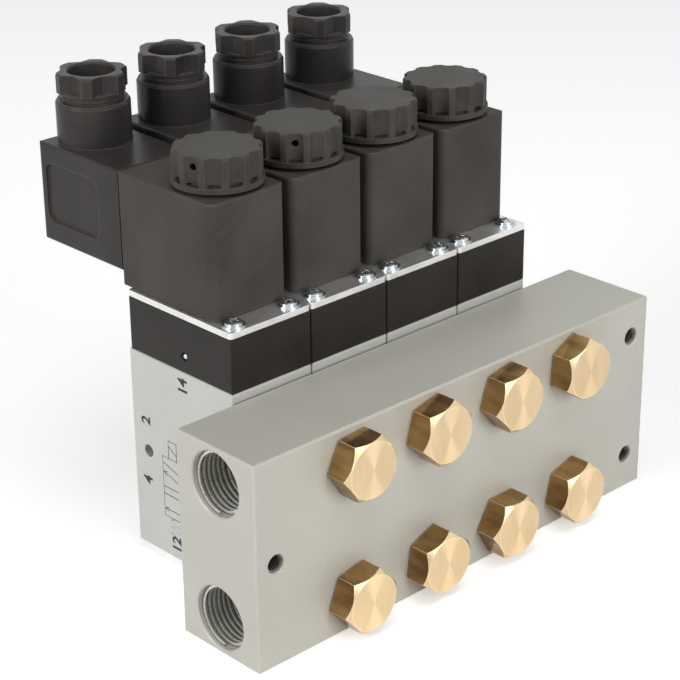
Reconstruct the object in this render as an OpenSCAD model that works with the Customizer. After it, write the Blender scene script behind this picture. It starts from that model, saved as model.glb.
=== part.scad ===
// Bank of four solenoid valves on a manifold bar.
// X runs along the bar, Y from the hexagon heads to the plugs, Z up.
// Every piece is drawn with Y = 0 at the front face of the bar and then moved
// by placed(), so that the origin lies under the middle of the whole bank.

/* [Bank] */
// Distance from one valve to the next
pitch = 33; // [32:0.5:40]
// Gap between neighbouring valves
valve_gap = 0.4; // [0.3:0.1:1]

/* [Manifold bar] */
// Bar past the outer valves, at each end
bar_margin = 23; // [21:0.5:40]
// Depth of the bar from front to back
bar_d = 35; // [31:1:45]
// Height of the bar
bar_h = 70; // [66:1:90]
// Bevel on the edges of the bar
bar_bevel = 0.6; // [0.2:0.1:1]
// Channel axis to the nearest long edge
channel_edge = 12.2; // [12:0.1:15]
// Radius of the lengthwise channels
channel_r = 7.5; // [6:0.5:8]
// Radius of the threaded end ports
end_port_r = 10.48; // [9:0.01:10.5]
// Length of the threaded end ports
end_port_len = 15; // [10:1:18]
// Bevel at the mouth of every threaded port
port_bevel = 0.5; // [0.3:0.1:0.8]
// Radius of the fixing holes
fixing_r = 3; // [2:0.5:4]
// Fixing hole to the end of the bar
fixing_edge_x = 8; // [6:0.5:10]
// Fixing holes at the right end to the long edge
fixing_edge_z = 12.6; // [10:0.1:16]

/* [Hollow screws] */
// Width of the hexagon head across its flats
head_af = 19; // [17:0.5:22]
// Height of the hexagon head
head_h = 8.7; // [6:0.1:10]
// Radius of the threaded shank
shank_r = 6.58; // [6:0.01:6.6]
// Play of the shank in the bar and the rings
shank_play = 0.2; // [0.1:0.05:0.4]
// Radius of the hole down the shank
screw_bore_r = 3.4; // [2.5:0.1:4]
// Thickness of the sealing ring under the head
head_seal_t = 1; // [1:0.1:2]
// Depth of the seat for that ring in the bar
seal_sink = 0.7; // [0.3:0.1:0.8]
// Thickness of the sealing ring behind the bar
port_seal_t = 0.6; // [0.4:0.1:1.5]
// Outer radius of the sealing rings
seal_r = 9.2; // [8.5:0.1:9.3]

/* [Valve body] */
// Underside of the valve above the underside of the bar
body_lift = 3; // [0.5:0.5:4]
// Height of the valve body
body_h = 69.6; // [69:0.1:76]
// Valve axis behind the front of the body
axis_depth = 22.8; // [22:0.1:26]
// Body behind the valve axis
back_depth = 27.6; // [26:0.1:34]
// Distance between the two outlets
outlet_pitch = 21.6; // [20:0.1:21.6]
// Middle of the two outlets above the underside of the body
outlet_mid = 35.4; // [35:0.1:36]
// Radius of the valve ports
port_r = 6.58; // [5:0.01:6.6]
// Length of the valve ports
port_len = 12; // [8:0.5:12]
// Radius of the cross hole through the body
tie_r = 2.15; // [1.5:0.05:3]
// Cross hole to the back of the body
tie_edge = 7.5; // [5:0.5:8]
// Radius of the bore for the cages and rings
pack_r = 9; // [8.6:0.1:9.2]
// Travel of the spool
spool_travel = 5; // [3:0.5:5]
// Radius of the spool
spool_r = 6; // [5.5:0.1:6.2]
// Running play of the spool in its rings
spool_play = 0.05; // [0.02:0.01:0.08]
// Thickness of a spool ring
ring_t = 2.2; // [1.5:0.1:3]

/* [Pilot block] */
// Height of the pilot block
pilot_h = 18.4; // [18:0.1:22]
// Back of the pilot block in front of the back of the body
pilot_inset = 1; // [0:0.1:3]
// Radius of the piston on the spool
piston_r = 9.4; // [8:0.1:9.6]
// Height of the piston
piston_h = 5; // [4:0.1:5.2]
// Radius of the pressed ball
ball_r = 1.25; // [0.8:0.05:1.5]
// Ball above the underside of the pilot block
ball_z = 5.5; // [4:0.1:7]

/* [Solenoid] */
// Thickness of the plate under the coil
plate_t = 2; // [1.5:0.1:3]
// Plate screw to the front and back edge of the plate
screw_edge_y = 4.6; // [4:0.1:5]
// Plate screw to the side of the valve
screw_edge_x = 5.4; // [4.6:0.1:6]
// Radius of the plate screws
small_screw_r = 1.5; // [1.25:0.25:2]
// Radius of the plate screw heads
small_head_r = 2.9; // [2.6:0.1:3.1]
// Height of the plate screw heads
small_head_h = 1.4; // [1.2:0.1:2]
// Radius of the washers under the front plate screws
small_washer_r = 3.7; // [3.4:0.1:3.8]
// Width of the coil
coil_w = 30; // [28:0.5:31]
// Coil in front of the valve axis
coil_front = 14; // [13:0.1:14.5]
// Whole depth of the coil
coil_d = 44.6; // [42:0.1:50]
// Height of the coil
coil_h = 38; // [36:0.5:45]
// Rounding of the upright edges at the front of the coil
coil_round = 3; // [1:0.5:5]
// The same at the plug
coil_back_round = 1; // [0.5:0.1:2]
// Radius of the armature tube
tube_r = 6.5; // [6.4:0.1:7]
// Radius of the armature
armature_r = 4.5; // [3.5:0.1:4.8]
// Travel of the armature
armature_travel = 0.8; // [0.5:0.1:0.8]
// Length of the armature
armature_len = 22; // [18:0.5:25]

/* [Coil cap] */
// Radius over the lobes
cap_r = 14; // [13:0.1:14.4]
// Height of the cap
cap_h = 10.9; // [10.5:0.1:14]
// Number of lobes
cap_lobes = 12; // [10:1:14]
// Depth of the flutes between the lobes
flute_depth = 1.5; // [0.8:0.1:1.6]
// Radius of the threaded stem in the cap
stem_r = 6; // [5:0.1:6.2]
// Thickness of the rubber ring that stands out under the cap
cap_gap = 1.3; // [0.5:0.1:1.5]

/* [Plug] */
// Width of the plug housing
plug_w = 29; // [27:0.1:30]
// Height of the plug housing
plug_h = 33.4; // [31:0.1:36]
// Depth of the plug housing
plug_d = 42; // [40:0.1:46]
// Top of the plug housing below the top of the coil
plug_drop = 0.2; // [0:0.1:2]
// Thickness of the gasket at the coil
gasket_t = 0.6; // [0.5:0.1:2]
// Rounding of the upright back edges of the housing
plug_round = 2.4; // [1:0.1:4]
// Rounding of the lower back edge of the housing
plug_low_round = 2.8; // [1:0.1:4]
// Wall of the plug housing
plug_wall = 2.5; // [2:0.1:3]
// Radius of the gland neck
neck_r = 12.1; // [11.8:0.1:12.8]
// Height of the gland neck above the housing
neck_h = 13.9; // [12:0.1:18]
// Radius of the thread on the gland nut
gland_thread_r = 10.2; // [10:0.1:10.4]
// Length of that thread
gland_thread_len = 8; // [7:0.1:9]
// Radius over the points of the gland nut
nut_r = 11.75; // [11.4:0.05:11.9]
// Height of the head of the gland nut
nut_h = 6.8; // [6.5:0.1:9]
// Gap between the head of the gland nut and the neck
nut_gap = 2.5; // [2.4:0.1:3]

/* [Hidden] */
$fn = 48;

stations = 4;
// How far each hexagon head happens to be turned, lower row and upper row
low_turns = [10, 22, 0, 16];
high_turns = [4, 14, 10, 26];
// How far each cap and gland nut happens to be turned
cap_turns = [0, 29, 11, 24];
nut_turns = [45, 48, 51, 49];
// The flute of each cap that has the vent hole
vent_flutes = [6, 6, 9, 1];

// Across the bank
valve_w = pitch - valve_gap;
bar_l = stations * pitch + 2 * bar_margin;
function valve_x(i) = (i - (stations + 1) / 2) * pitch;

// From front to back
head_stand = head_seal_t - seal_sink;
head_front = -(head_stand + head_h);
body_front = bar_d + port_seal_t;
axis_y = body_front + axis_depth;
body_back = axis_y + back_depth;
pilot_back = body_back - pilot_inset;
coil_y = axis_y - coil_front;
coil_back = coil_y + coil_d;
plug_y = coil_back + gasket_t;
plug_back = plug_y + plug_d;
gland_y = plug_back - neck_r;
seal_room = 0.1;
middle_y = (head_front + plug_back) / 2;

// From the bottom up
channel_low = channel_edge;
channel_high = bar_h - channel_edge;
body_top = body_lift + body_h;
pilot_top = body_top + pilot_h;
plate_top = pilot_top + plate_t;
coil_top = plate_top + coil_h;
cap_z = coil_top + cap_gap;
cap_top = cap_z + cap_h;
plug_top = coil_top - plug_drop;
plug_z = plug_top - plug_h;
neck_top = plug_top + neck_h;
nut_z = neck_top + nut_gap;
nut_bottom = nut_z - gland_thread_len;
nut_top = nut_z + nut_h;
washer_t = 1;
washer_z = nut_bottom - washer_t;

// Chambers of the spool bore, from the lower exhaust to the upper one
chamber_pitch = outlet_pitch / 2;
supply_z = body_lift + outlet_mid;
function chamber_z(k) = supply_z + k * chamber_pitch;
chambers = [-2 : 2];
cage_h = chamber_pitch - ring_t;
cage_play = 0.05;
cage_bore_r = spool_r + 0.4;
pack_bottom = chamber_z(-2) - chamber_pitch / 2 - ring_t / 2;
gallery_r = 1.8;
screw_grip = 8;
screw_hole_play = 0.1;
plate_round = 1;
feed_r = 2.5;
gallery_x = (pack_r + valve_w / 2) / 2;
pilot_gallery_r = 1.1;
body_bevel = 0.4;

// Plug at the lower end of the spool bore
end_plug_floor = 2;
end_plug_sink = 0.3;
end_plug_z = body_lift + end_plug_sink;
spring_floor = end_plug_z + end_plug_floor;
spool_stop_gap = 0.3;
spool_end = spring_floor + spool_travel + spool_stop_gap;
spring_room_r = 4.4;
spring_room_h = 12;

// Piston chamber and pilot seat
flange_t = 2.5;
flange_r = 10;
flange_z = pilot_top - flange_t;
piston_floor_gap = 0.4;
piston_z = body_top + spool_travel + piston_floor_gap;
piston_top = piston_z + piston_h;
chamber_top = piston_top + 0.3;
piston_play = 0.08;
lip_depth = 0.8;
lip_h = 2;
lip_z = chamber_top - lip_h - 0.6;
seat_h = 0.8;
seat_z = flange_z + seat_h;
pilot_drill_z = (chamber_top + flange_z) / 2;
pilot_drill_r = 0.9;
nozzle_r = 0.6;
return_r = 0.8;

// Armature and its tube
armature_play = 0.07;
core_z = seat_z + armature_len + armature_travel + 0.2;
spring_pocket_r = 2.6;
spring_pocket_h = 8;
tube_play = 0.25;
cap_cover = 3.6;
stem_top = cap_top - cap_cover;

// Cap
cap_flange_h = 1.7;
cap_flange_r = cap_r + 0.4;
cap_wall = 1.2;
cap_boss_r = 8.6;
cap_roof = 2.7;
cap_ring_in = 9;
cap_ring_h = 3;
cap_ring_play = 0.1;
cap_room_r = cap_r - flute_depth - cap_wall;
cap_play = 0.06;
vent_r = 1.2;
vent_down = 3.3;

// Plug interface
blade_t = 0.8;
blade_w = 6.2;
blade_len = 9;
blade_root = 3;
blade_x = 9;
blade_play = 0.15;
plug_mid = (plug_z + plug_top) / 2;
insert_d = 14;
insert_play = 0.2;
cavity_w = plug_w - 2 * plug_wall;
cavity_h = plug_h - 2 * plug_wall;
m3_r = 1.5;
m3_play = 0.15;
m3_head_r = 2.75;
m3_head_h = 2;
washer_play = 0.3;
nut_play = 0.08;
nut_hole_r = 6.2;
thread_pitch = 1.5;
thread_depth = 0.5;
// The cable seal lies on a ledge, and stays clear of a nut screwed right down
ledge_sink = 0.8;
seal_gap = 0.3;
seal_z = plug_top - ledge_sink;
seal_h = washer_z - nut_gap - seal_gap - seal_z;
cable_way_r = 7;

module placed() {
  translate([0, -middle_y, 0]) children();
}

module at_valve(i) {
  translate([valve_x(i), 0, 0]) children();
}

module at_every_valve() {
  for (i = [1 : stations]) at_valve(i) children();
}

// A cylinder along Y that starts at y and runs backwards for len
module y_rod(r, y, len) {
  translate([0, y, 0]) rotate([-90, 0, 0]) cylinder(r = r, h = len);
}

// A cylinder along X that starts at x and runs to the right for len
module x_rod(r, x, len) {
  translate([x, 0, 0]) rotate([0, 90, 0]) cylinder(r = r, h = len);
}

// A cylinder along Z
module z_rod(r, z, len) {
  translate([0, 0, z]) cylinder(r = r, h = len);
}

// A flat ring around Z
module z_ring(r_out, r_in, z, h) {
  difference() {
    z_rod(r_out, z, h);
    z_rod(r_in, z - 1, h + 2);
  }
}

// Rectangle with round corners, from its lower left corner
module round_rect(w, h, r) {
  translate([r, 0]) square([w - 2 * r, h]);
  translate([0, r]) square([w, h - 2 * r]);
  for (x = [r, w - r], y = [r, h - r]) translate([x, y]) circle(r);
}

// Rectangle with bevelled corners, from its lower left corner
module bevel_rect(w, h, b) {
  polygon([
    [b, 0], [w - b, 0], [w, b], [w, h - b],
    [w - b, h], [b, h], [0, h - b], [0, b]
  ]);
}

// Box with all its edges bevelled
module bevel_box(size, b) {
  intersection() {
    linear_extrude(size.z) bevel_rect(size.x, size.y, b);
    translate([0, size.y, 0]) rotate([90, 0, 0])
      linear_extrude(size.y) bevel_rect(size.x, size.z, b);
    rotate([90, 0, 90]) linear_extrude(size.x) bevel_rect(size.y, size.z, b);
  }
}

// Rectangle from its lower left corner, each corner with its own rounding,
// counted from the lower left one against the clock
module corner_rect(w, h, r) {
  polygon([
    [r[0], 0], [w - r[1], 0], [w - r[1], r[1]], [w, r[1]],
    [w, h - r[2]], [w - r[2], h - r[2]], [w - r[2], h], [r[3], h],
    [r[3], h - r[3]], [0, h - r[3]], [0, r[0]], [r[0], r[0]]
  ]);
  translate([r[0], r[0]]) circle(r[0]);
  translate([w - r[1], r[1]]) circle(r[1]);
  translate([w - r[2], h - r[2]]) circle(r[2]);
  translate([r[3], h - r[3]]) circle(r[3]);
}

// Moulded box: what its outlines from above, from the front and from the
// left share, each with its own four corners
module moulded_box(size, above, front, side) {
  intersection() {
    linear_extrude(size.z) corner_rect(size.x, size.y, above);
    translate([0, size.y, 0]) rotate([90, 0, 0])
      linear_extrude(size.y) corner_rect(size.x, size.z, front);
    rotate([90, 0, 90]) linear_extrude(size.x) corner_rect(size.y, size.z, side);
  }
}

// Mouth of a threaded port: the hole along -Y from y, with its bevel
module port_y(r, y, len, side) {
  y_rod(r, side > 0 ? y - len : y - 1, len + 1);
  translate([0, y, 0]) rotate([side > 0 ? 90 : -90, 0, 0])
    cylinder(r1 = r + port_bevel, r2 = r, h = port_bevel);
}

// Wire wound around Z, from z0 to z1, as one closed mesh
module helix_wire(r, wire_r, z0, z1, turns) {
  steps = 12;
  sides = 6;
  n = turns * steps;
  rise = (z1 - z0 - 2 * wire_r) / n;
  points = [
    for (i = [0 : n], j = [0 : sides - 1])
      let (a = i * 360 / steps, b = j * 360 / sides, q = r + wire_r * cos(b))
      [q * cos(a), q * sin(a), z0 + wire_r + i * rise + wire_r * sin(b)]
  ];
  function at(i, j) = i * sides + (j + sides) % sides;
  walls = [
    for (i = [0 : n - 1], j = [0 : sides - 1])
      each [
        [at(i, j), at(i, j + 1), at(i + 1, j)],
        [at(i, j + 1), at(i + 1, j + 1), at(i + 1, j)]
      ]
  ];
  first = [for (j = [sides - 1 : -1 : 0]) at(0, j)];
  last = [for (j = [0 : sides - 1]) at(n, j)];
  polyhedron(points, concat(walls, [first, last]));
}

module manifold_bar() {
  fixings = [
    [-bar_l / 2 + fixing_edge_x, bar_h / 2],
    [bar_l / 2 - fixing_edge_x, fixing_edge_z],
    [bar_l / 2 - fixing_edge_x, bar_h - fixing_edge_z]
  ];
  channel_len = bar_margin + (stations - 0.5) * pitch + shank_r + 5;
  color("#b9b6ae") difference() {
    translate([-bar_l / 2, 0, 0]) bevel_box([bar_l, bar_d, bar_h], bar_bevel);
    for (z = [channel_low, channel_high]) translate([-bar_l / 2, bar_d / 2, z]) {
      x_rod(channel_r, -1, channel_len + 1);
      x_rod(end_port_r, -1, end_port_len + 1);
      rotate([0, 90, 0])
        cylinder(r1 = end_port_r + port_bevel, r2 = end_port_r, h = port_bevel);
    }
    // Bores for the hollow screws, each with a seat for its sealing ring
    for (i = [1 : stations], z = [channel_low, channel_high])
      translate([valve_x(i), 0, z]) {
        y_rod(shank_r + shank_play, -1, bar_d + 2);
        y_rod(seal_r + seal_room, -1, seal_sink + 1);
      }
    for (p = fixings) translate([p.x, 0, p.y]) {
      y_rod(fixing_r, -1, bar_d + 2);
      port_y(fixing_r, 0, 1, -1);
      port_y(fixing_r, bar_d, 1, 1);
    }
  }
}

// One hollow screw along Y: hexagon head, shank with a waist at the channel,
// a bore from its tip and two cross holes in the waist
module hollow_screw(turn) {
  corner_r = head_af / 2 / cos(30);
  blank_r = corner_r + 0.5;
  face_r = head_af / 2 - 0.2;
  head_bevel = blank_r - face_r;
  waist_r = shank_r - 1.2;
  waist_len = 2 * channel_r - 2;
  tip = body_front + port_len - 1;
  cross_r = screw_bore_r - 0.8;
  difference() {
    union() {
      translate([0, -head_stand, 0]) rotate([90, 0, 0]) intersection() {
        rotate(turn) cylinder(r = corner_r, h = head_h, $fn = 6);
        rotate_extrude() polygon([
          [0, -1], [blank_r, -1], [blank_r, head_h - head_bevel],
          [face_r, head_h], [0, head_h]
        ]);
      }
      rotate([-90, 0, 0]) rotate_extrude() polygon([
        [0, -head_stand - 1], [shank_r, -head_stand - 1],
        [shank_r, (bar_d - waist_len) / 2], [waist_r, (bar_d - waist_len) / 2 + 1.2],
        [waist_r, (bar_d + waist_len) / 2 - 1.2], [shank_r, (bar_d + waist_len) / 2],
        [shank_r, tip - 1], [shank_r - 1, tip], [0, tip]
      ]);
    }
    y_rod(screw_bore_r, bar_d / 2, tip);
    translate([0, bar_d / 2, 0]) {
      sphere(screw_bore_r);
      x_rod(cross_r, -shank_r - 1, 2 * shank_r + 2);
      translate([0, 0, -shank_r - 1]) cylinder(r = cross_r, h = 2 * shank_r + 2);
    }
  }
}

module hollow_screws() {
  color("#c9a467") for (i = [1 : stations]) {
    translate([valve_x(i), 0, channel_low]) hollow_screw(low_turns[i - 1]);
    translate([valve_x(i), 0, channel_high]) hollow_screw(high_turns[i - 1]);
  }
}

module y_ring(r_out, r_in, y, t) {
  difference() {
    y_rod(r_out, y, t);
    y_rod(r_in, y - 1, t + 2);
  }
}

module screw_seals() {
  color("#3a3a3a") for (i = [1 : stations], z = [channel_low, channel_high])
    translate([valve_x(i), 0, z]) {
      y_ring(seal_r, shank_r + shank_play, -head_stand, head_seal_t);
      y_ring(seal_r, shank_r + shank_play, bar_d, port_seal_t);
    }
}

module valve_body() {
  color("#d3d2cc") difference() {
    translate([-valve_w / 2, body_front, body_lift])
      bevel_box([valve_w, body_back - body_front, body_h], body_bevel);
    translate([0, axis_y, 0]) z_rod(pack_r, body_lift - 1, body_h + 2);
    // Ports at the bar
    translate([0, 0, channel_low]) port_y(port_r, body_front, port_len, -1);
    translate([0, 0, channel_high]) port_y(port_r, body_front, port_len, -1);
    // Outlets at the back and their ways to the spool bore
    for (k = [-1, 1]) translate([0, 0, chamber_z(k)]) {
      port_y(port_r, body_back, port_len, 1);
      y_rod(feed_r, axis_y, back_depth - 1);
    }
    // Supply: down from the upper port, then back to the middle chamber
    translate([0, body_front + port_len - feed_r - 0.5, chamber_z(0)]) {
      z_rod(feed_r, 0, channel_high - chamber_z(0));
      y_rod(feed_r, 0, axis_depth - port_len + feed_r);
    }
    // Exhaust: from the lower port, and up beside the bore to the top chamber
    translate([0, body_front + port_len - 1, chamber_z(-2)])
      y_rod(gallery_r, 0, axis_depth - port_len);
    translate([0, axis_y, 0]) {
      for (k = [-2, 2]) translate([0, 0, chamber_z(k)]) x_rod(gallery_r, 0, gallery_x);
      translate([gallery_x, 0, 0])
        z_rod(gallery_r, chamber_z(-2), chamber_z(2) - chamber_z(-2));
      // Pilot supply, up from the middle chamber
      translate([0, 0, chamber_z(0)]) x_rod(pilot_gallery_r, -gallery_x, gallery_x);
      translate([-gallery_x, 0, 0])
        z_rod(pilot_gallery_r, chamber_z(0), body_top - chamber_z(0) + 1);
    }
    // Cross hole for through bolts
    translate([0, body_back - tie_edge, chamber_z(0)]) x_rod(tie_r, -pitch, 2 * pitch);
    small_screw_places()
      z_rod(small_screw_r + screw_hole_play, body_top - screw_grip - 2, screw_grip + 3);
  }
}

// The four places of the plate screws on one valve
module small_screw_places() {
  for (x = [-1, 1], y = [body_front + screw_edge_y, pilot_back - screw_edge_y])
    translate([x * (pitch / 2 - screw_edge_x), y, 0]) children();
}

module spool_cages() {
  color("#c8b070") at_every_valve() translate([0, axis_y, 0]) for (k = chambers)
    difference() {
      z_ring(pack_r - cage_play, cage_bore_r, chamber_z(k) - cage_h / 2, cage_h);
      translate([0, 0, chamber_z(k)]) {
        x_rod(feed_r, -pack_r - 1, 2 * pack_r + 2);
        y_rod(feed_r, -pack_r - 1, 2 * pack_r + 2);
      }
    }
}

// Rings between the cages and at both ends, and the lip ring of the piston
module spool_seals() {
  color("#2b2b2b") at_every_valve() translate([0, axis_y, 0]) {
    for (k = [-3 : 2])
      z_ring(
        pack_r - cage_play, spool_r + spool_play,
        chamber_z(k) + chamber_pitch / 2 - ring_t / 2, ring_t
      );
    z_ring(piston_r + piston_play + lip_depth, piston_r + piston_play / 2, lip_z, lip_h);
  }
}

module end_plugs() {
  slot_w = 2;
  color("#b9b6ae") at_every_valve() translate([0, axis_y, 0]) difference() {
    z_rod(pack_r - cage_play, end_plug_z, pack_bottom - end_plug_z);
    z_rod(spool_r + 0.5, spring_floor, pack_bottom);
    translate([-pack_r, -slot_w / 2, end_plug_z - 1]) cube([2 * pack_r, slot_w, 2]);
  }
}

// Spool with three narrow waists, a pocket for its spring and a piston head
module spool() {
  neck_r_in = spool_r - 2;
  neck_len = chamber_pitch - ring_t;
  color("#9a9a96") translate([0, axis_y, 0]) difference() {
    union() {
      z_rod(spool_r, spool_end, piston_top - spool_end - 1);
      z_rod(piston_r, piston_z, piston_h);
    }
    for (k = [-1, 1]) translate([0, 0, chamber_z(k) - neck_len / 2 + spool_travel / 2])
      z_ring(spool_r + 1, neck_r_in, 0, neck_len);
    z_rod(spring_room_r, spool_end - 1, spring_room_h + 1);
  }
}

module spool_spring() {
  wire_r = 0.5;
  color("#b0b0b0") translate([0, axis_y, 0])
    helix_wire(
      spring_room_r - 2 * wire_r, wire_r,
      spring_floor, spool_end + spring_room_h, 7
    );
}

module pilot_block() {
  color("#302e2c") difference() {
    translate([-valve_w / 2, body_front, body_top])
      bevel_box([valve_w, pilot_back - body_front, pilot_h], body_bevel);
    translate([0, axis_y, 0]) {
      difference() {
        z_rod(flange_r + 0.1, flange_z, flange_t + 1);
        z_rod(2, flange_z - 1, seat_h + 1);
      }
      z_rod(piston_r + piston_play, body_top - 1, chamber_top - body_top + 1);
      z_rod(piston_r + piston_play + lip_depth, lip_z, lip_h);
      // Pilot way: up the gallery, across and out of the seat
      translate([-gallery_x, 0, 0])
        z_rod(pilot_gallery_r, body_top - 1, pilot_drill_z - body_top + 1);
      translate([0, 0, pilot_drill_z]) x_rod(pilot_drill_r, -gallery_x, gallery_x);
      z_rod(nozzle_r, pilot_drill_z, flange_t + 2);
      translate([flange_r / 2, 0, 0]) z_rod(return_r, piston_top, flange_t + 3);
      // Cross drilling behind the ball
      translate([0, 0, body_top + ball_z]) {
        x_rod(ball_r + 0.05, -valve_w / 2 - 1, valve_w / 2 - gallery_x + 1);
        translate([-valve_w / 2, 0, 0]) rotate([0, 90, 0])
          cylinder(r1 = ball_r + 0.5, r2 = ball_r, h = 0.5);
      }
    }
    small_screw_places() z_rod(small_screw_r + screw_hole_play, body_top - 1, pilot_h + 2);
  }
}

module pilot_balls() {
  color("#e6e6e6") at_every_valve()
    translate([-valve_w / 2 + ball_r + 0.2, axis_y, body_top + ball_z]) sphere(ball_r);
}

module solenoid_plates() {
  color("#d8d8d6") at_every_valve() difference() {
    translate([-valve_w / 2, body_front, pilot_top])
      linear_extrude(plate_t) round_rect(valve_w, pilot_back - body_front, plate_round);
    translate([0, axis_y, 0]) z_rod(tube_r + tube_play, pilot_top - 1, plate_t + 2);
    small_screw_places() z_rod(small_screw_r + screw_hole_play, pilot_top - 1, plate_t + 2);
    rear_screw_places() translate([0, 0, plate_top - small_head_r])
      cylinder(r1 = 0, r2 = small_head_r, h = small_head_r);
    rear_screw_places() z_rod(small_head_r, plate_top - 0.1, 1);
  }
}

module rear_screw_places() {
  for (x = [-1, 1])
    translate([x * (pitch / 2 - screw_edge_x), pilot_back - screw_edge_y, 0]) children();
}

module front_screw_places() {
  for (x = [-1, 1])
    translate([x * (pitch / 2 - screw_edge_x), body_front + screw_edge_y, 0]) children();
}

module cross_recess(z) {
  for (a = [0, 90]) rotate(a) translate([-1.6, -0.4, z]) cube([3.2, 0.8, 3]);
}

// Front screws with pan heads on captive washers, rear ones countersunk
module plate_screws() {
  washer_h = 0.5;
  sink = 0.2;
  color("#cfd2d4") at_every_valve() {
    front_screw_places() difference() {
      union() {
        z_rod(small_screw_r, body_top - screw_grip, plate_top - body_top + screw_grip);
        z_rod(small_washer_r, plate_top, washer_h);
        translate([0, 0, plate_top + washer_h]) rotate_extrude()
          intersection() {
            square([small_head_r, small_head_h]);
            translate([0, small_head_h - 2 * small_head_r]) circle(2 * small_head_r);
          }
      }
      rotate(20) cross_recess(plate_top + washer_h + small_head_h - 1.2);
    }
    rear_screw_places() difference() {
      union() {
        z_rod(small_screw_r, body_top - screw_grip, plate_top - sink - body_top + screw_grip);
        translate([0, 0, plate_top - small_head_r])
          cylinder(r1 = 0, r2 = small_head_r - sink / 2, h = small_head_r - sink / 2);
      }
      rotate(35) cross_recess(plate_top - 1);
    }
  }
}

// Tube with its flange, closed by the fixed core, which ends in a stem
module armature_tubes() {
  color("#bdbdbb") at_every_valve() translate([0, axis_y, 0]) difference() {
    union() {
      z_rod(flange_r, flange_z + 0.02, flange_t - 0.02);
      z_rod(tube_r, flange_z + 0.02, coil_top - flange_z);
      z_rod(stem_r, coil_top - 1, stem_top - coil_top + 1);
    }
    z_rod(armature_r + armature_play, flange_z - 1, core_z - flange_z + 1);
  }
}

module armature() {
  color("#8e9092") translate([0, axis_y, 0]) difference() {
    z_rod(armature_r, seat_z, armature_len);
    z_rod(spring_pocket_r, seat_z + armature_len - spring_pocket_h, spring_pocket_h + 1);
  }
}

// Drawn as short as the energised armature leaves them
module armature_springs() {
  wire_r = 0.3;
  color("#b0b0b0") at_every_valve() translate([0, axis_y, 0])
    helix_wire(
      spring_pocket_r - 2 * wire_r, wire_r,
      seat_z + armature_len - spring_pocket_h + armature_travel + 0.1, core_z, 6
    );
}

module coil() {
  edge = 0.8;
  mark_r = 1.1;
  mark_line = 0.35;
  mark_depth = 0.15;
  mark_in = 4.6;
  mark_down = 9.5;
  color("#35332f") difference() {
    translate([-coil_w / 2, coil_y, plate_top])
      moulded_box(
        [coil_w, coil_d, coil_h],
        [coil_round, coil_round, coil_back_round, coil_back_round],
        [edge, edge, edge, edge], [edge, edge, edge, edge]
      );
    translate([0, axis_y, 0]) z_rod(tube_r + tube_play, plate_top - 1, coil_h + 2);
    // Marks of the mould's ejectors
    for (x = [-1, 1])
      translate([x * (coil_w / 2 - mark_in), 0, coil_top - mark_down])
        y_ring(mark_r, mark_r - mark_line, coil_y - 1, 1 + mark_depth);
    translate([0, 0, plug_mid]) y_rod(m3_r + 0.05, coil_back - 7, 8);
    blade_places() blade(coil_back - blade_root, blade_root + 1, blade_play / 3);
  }
}

// A flat blade along Y; play makes it the slot for one
module blade(y, len, play) {
  translate([-blade_t / 2 - play, y, -blade_w / 2 - play])
    cube([blade_t + 2 * play, len, blade_w + 2 * play]);
}

module blade_places() {
  for (x = [-blade_x, blade_x]) translate([x, 0, plug_mid]) children();
  translate([0, 0, plug_mid - blade_x]) rotate([0, 90, 0]) children();
}

module contact_blades() {
  color("#c8c4b4") at_every_valve() blade_places()
    blade(coil_back - blade_root, blade_root + gasket_t + blade_len, 0);
}

// Outline of the cap: a disc with round flutes
module cap_outline() {
  chord = 2 * PI * cap_r / cap_lobes - 1.6;
  flute_r = (chord * chord / 4 + flute_depth * flute_depth) / (2 * flute_depth);
  difference() {
    circle(cap_r);
    for (i = [0 : cap_lobes - 1])
      rotate((i + 0.5) * 360 / cap_lobes)
        translate([cap_r - flute_depth + flute_r, 0]) circle(flute_r);
  }
}

// Cap with a blind thread, a room for its rubber ring, a slot at the foot of
// each flute and a vent hole in one of them
module coil_cap(turn, vent_flute) {
  edge = 0.5;
  slot_w = 4;
  slot_h = 0.8;
  slot_depth = 0.6;
  step = 360 / cap_lobes;
  color("#3b3936") translate([0, axis_y, 0]) rotate(turn) difference() {
    union() {
      z_rod(cap_flange_r, cap_z, cap_flange_h);
      intersection() {
        translate([0, 0, cap_z]) linear_extrude(cap_h) cap_outline();
        union() {
          z_rod(cap_r + 1, cap_z, cap_h - edge);
          translate([0, 0, cap_top - edge]) cylinder(r1 = cap_r, r2 = cap_r - edge, h = edge);
        }
      }
    }
    z_rod(stem_r + cap_play, cap_z - 1, stem_top - cap_z + 1.5);
    z_ring(cap_room_r, cap_boss_r, cap_z - 1, cap_h - cap_roof + 1);
    for (k = [0 : cap_lobes - 1]) rotate((k + 0.5) * step)
      translate([cap_r - flute_depth - slot_depth, -slot_w / 2, cap_z + cap_flange_h])
        cube([flute_depth + slot_depth + 1, slot_w, slot_h]);
    rotate((vent_flute + 0.5) * step) translate([0, 0, cap_top - vent_down])
      x_rod(vent_r, cap_boss_r + 1, cap_r);
  }
}

// Rubber ring in the mouth of the cap; it stands out by cap_gap
module cap_ring() {
  color("#1f1f1f") translate([0, axis_y, 0])
    z_ring(cap_room_r - cap_ring_play, cap_ring_in, coil_top, cap_ring_h);
}

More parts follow.
